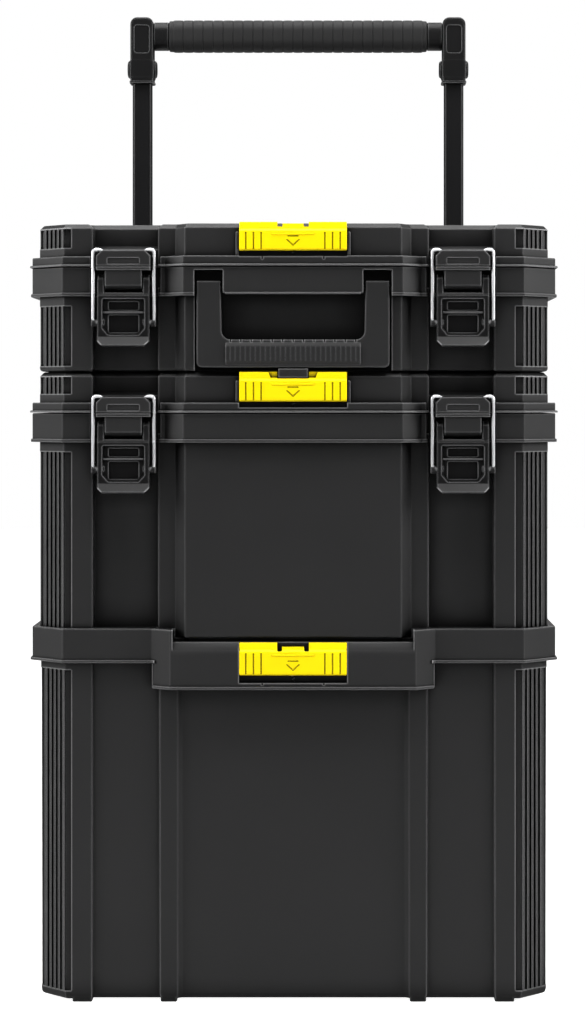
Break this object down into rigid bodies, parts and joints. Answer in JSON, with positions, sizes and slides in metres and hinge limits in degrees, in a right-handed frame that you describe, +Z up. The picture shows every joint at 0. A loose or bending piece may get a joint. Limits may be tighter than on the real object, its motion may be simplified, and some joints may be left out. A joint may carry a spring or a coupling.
{
  "type": "rolling tool box",
  "caption": "Wheeled bin with a tool box and a carry case stacked on it, bail latches, slide catches, a fold-down handle and a telescopic handle behind.",
  "frame": {"origin": "on the floor under the centre of the whole object", "axes": "+Z up, -Y to the front with the latches, +X to the right seen from the front"},
  "size_m": [0.4898, 0.3186, 0.9445],
  "materials": {
    "shell": "fine moulded grain, charcoal black",
    "trim": "smoother moulded black",
    "yellow": "satin yellow",
    "steel": "bright zinc plated wire",
    "painted": "black powder coat",
    "rubber": "soft ribbed",
    "tyre": "solid tyre"
  },
  "bodies": {
    "bin": {"bottom_bin": "shell", "bin_rim": "shell", "bin_catch_spring": "steel", "handle_sleeve_left": "painted", "handle_sleeve_right": "painted", "sleeve_collar_left": "trim", "sleeve_collar_right": "trim", "lower_clamp_left": "trim", "lower_clamp_right": "trim", "upper_clamp_left": "trim", "upper_clamp_right": "trim", "axle_bolt_left": "steel", "axle_bolt_right": "steel", "axle_nut_left": "steel", "axle_nut_right": "steel"},
    "wheel_left": {"tyre_left": "tyre", "wheel_hub_left": "trim"},
    "wheel_right": {"tyre_right": "tyre", "wheel_hub_right": "trim"},
    "handle_middle": {"middle_tube_left": "painted", "middle_tube_right": "painted", "middle_collar_left": "trim", "middle_collar_right": "trim"},
    "handle_top": {"inner_tube_left": "painted", "inner_tube_right": "painted", "grip_bracket_left": "trim", "grip_bracket_right": "trim", "bracket_pin_left": "trim", "bracket_pin_right": "trim", "grip_core": "trim", "grip_sleeve": "rubber"},
    "bin_catch": {"bin_catch": "yellow"},
    "mid_box": {"mid_tray": "shell", "mid_hinge_pin_left": "steel", "mid_hinge_pin_right": "steel", "mid_lever_pin_left": "steel", "mid_lever_pin_right": "steel"},
    "mid_lid": {"mid_lid": "shell", "mid_catch_spring": "steel"},
    "mid_catch": {"mid_catch": "yellow"},
    "top_box": {"top_tray": "shell", "top_hinge_pin_left": "steel", "top_hinge_pin_right": "steel", "top_lever_pin_left": "steel", "top_lever_pin_right": "steel", "carry_pin_left": "steel", "carry_pin_right": "steel"},
    "top_lid": {"top_lid": "shell", "top_catch_spring": "steel"},
    "top_catch": {"top_catch": "yellow"},
    "carry_handle": {"carry_handle": "trim"},
    "mid_lever_left": {"mid_lever_left": "trim"},
    "mid_bail_left": {"mid_bail_left": "steel"},
    "mid_lever_right": {"mid_lever_right": "trim"},
    "mid_bail_right": {"mid_bail_right": "steel"},
    "top_lever_left": {"top_lever_left": "trim"},
    "top_bail_left": {"top_bail_left": "steel"},
    "top_lever_right": {"top_lever_right": "trim"},
    "top_bail_right": {"top_bail_right": "steel"}
  },
  "joints": [
    {"name": "wheel_left_spin", "type": "hinge", "parent": "bin", "child": "wheel_left", "pos_m": [-0.2105, 0.0968, 0.0625], "axis": [1, 0, 0], "continuous": true},
    {"name": "wheel_right_spin", "type": "hinge", "parent": "bin", "child": "wheel_right", "pos_m": [0.2105, 0.0968, 0.0625], "axis": [1, 0, 0], "continuous": true},
    {"name": "handle_middle_slide", "type": "slide", "parent": "bin", "child": "handle_middle", "axis": [0, 0, 1], "range_m": [-0.24, 0]},
    {"name": "handle_top_slide", "type": "slide", "parent": "handle_middle", "child": "handle_top", "axis": [0, 0, 1], "range_m": [-0.24, 0]},
    {"name": "bin_catch_slide", "type": "slide", "parent": "bin", "child": "bin_catch", "axis": [0, 0, 1], "range_m": [-0.0048, 0], "stiffness_N_per_m": 600, "springref_m": 0.004},
    {"name": "mid_box_lift", "type": "slide", "parent": "bin", "child": "mid_box", "axis": [0, 0, 1], "range_m": [0, 0.15]},
    {"name": "top_case_lift", "type": "slide", "parent": "mid_box", "child": "top_box", "axis": [0, 0, 1], "range_m": [0, 0.42]},
    {"name": "mid_lid_hinge", "type": "hinge", "parent": "mid_box", "child": "mid_lid", "pos_m": [0, 0.094, 0.541], "axis": [-1, 0, 0], "range_deg": [0, 89.5]},
    {"name": "mid_catch_slide", "type": "slide", "parent": "mid_lid", "child": "mid_catch", "axis": [0, 0, 1], "range_m": [-0.0048, 0], "stiffness_N_per_m": 600, "springref_m": 0.004},
    {"name": "top_lid_hinge", "type": "hinge", "parent": "top_box", "child": "top_lid", "pos_m": [0, 0.094, 0.675], "axis": [-1, 0, 0], "range_deg": [0, 89]},
    {"name": "top_catch_slide", "type": "slide", "parent": "top_lid", "child": "top_catch", "axis": [0, 0, 1], "range_m": [-0.0048, 0], "stiffness_N_per_m": 600, "springref_m": 0.004},
    {"name": "carry_handle_swing", "type": "hinge", "parent": "top_box", "child": "carry_handle", "pos_m": [0, -0.148, 0.655], "axis": [-1, 0, 0], "range_deg": [0, 100]},
    {"name": "mid_lever_left_swing", "type": "hinge", "parent": "mid_box", "child": "mid_lever_left", "pos_m": [-0.155, -0.143, 0.527], "axis": [-1, 0, 0], "range_deg": [0, 100]},
    {"name": "mid_bail_left_swing", "type": "hinge", "parent": "mid_lever_left", "child": "mid_bail_left", "pos_m": [-0.155, -0.1482, 0.49], "axis": [-1, 0, 0], "range_deg": [-146, 0]},
    {"name": "mid_lever_right_swing", "type": "hinge", "parent": "mid_box", "child": "mid_lever_right", "pos_m": [0.155, -0.143, 0.527], "axis": [-1, 0, 0], "range_deg": [0, 100]},
    {"name": "mid_bail_right_swing", "type": "hinge", "parent": "mid_lever_right", "child": "mid_bail_right", "pos_m": [0.155, -0.1482, 0.49], "axis": [-1, 0, 0], "range_deg": [-146, 0]},
    {"name": "top_lever_left_swing", "type": "hinge", "parent": "top_box", "child": "top_lever_left", "pos_m": [-0.155, -0.143, 0.661], "axis": [-1, 0, 0], "range_deg": [0, 100]},
    {"name": "top_bail_left_swing", "type": "hinge", "parent": "top_lever_left", "child": "top_bail_left", "pos_m": [-0.155, -0.1482, 0.624], "axis": [-1, 0, 0], "range_deg": [-146, 0]},
    {"name": "top_lever_right_swing", "type": "hinge", "parent": "top_box", "child": "top_lever_right", "pos_m": [0.155, -0.143, 0.661], "axis": [-1, 0, 0], "range_deg": [0, 100]},
    {"name": "top_bail_right_swing", "type": "hinge", "parent": "top_lever_right", "child": "top_bail_right", "pos_m": [0.155, -0.1482, 0.624], "axis": [-1, 0, 0], "range_deg": [-146, 0]}
  ],
  "couplings": [
    {"joint": "handle_middle_slide", "follows": "handle_top_slide", "ratio": 1},
    {"joint": "mid_lid_hinge", "follows": "top_case_lift", "rad_per_m": 3.698},
    {"joint": "mid_bail_left_swing", "follows": "mid_lever_left_swing", "ratio": -1.45},
    {"joint": "mid_bail_right_swing", "follows": "mid_lever_right_swing", "ratio": -1.45},
    {"joint": "top_bail_left_swing", "follows": "top_lever_left_swing", "ratio": -1.45},
    {"joint": "top_bail_right_swing", "follows": "top_lever_right_swing", "ratio": -1.45}
  ]
}
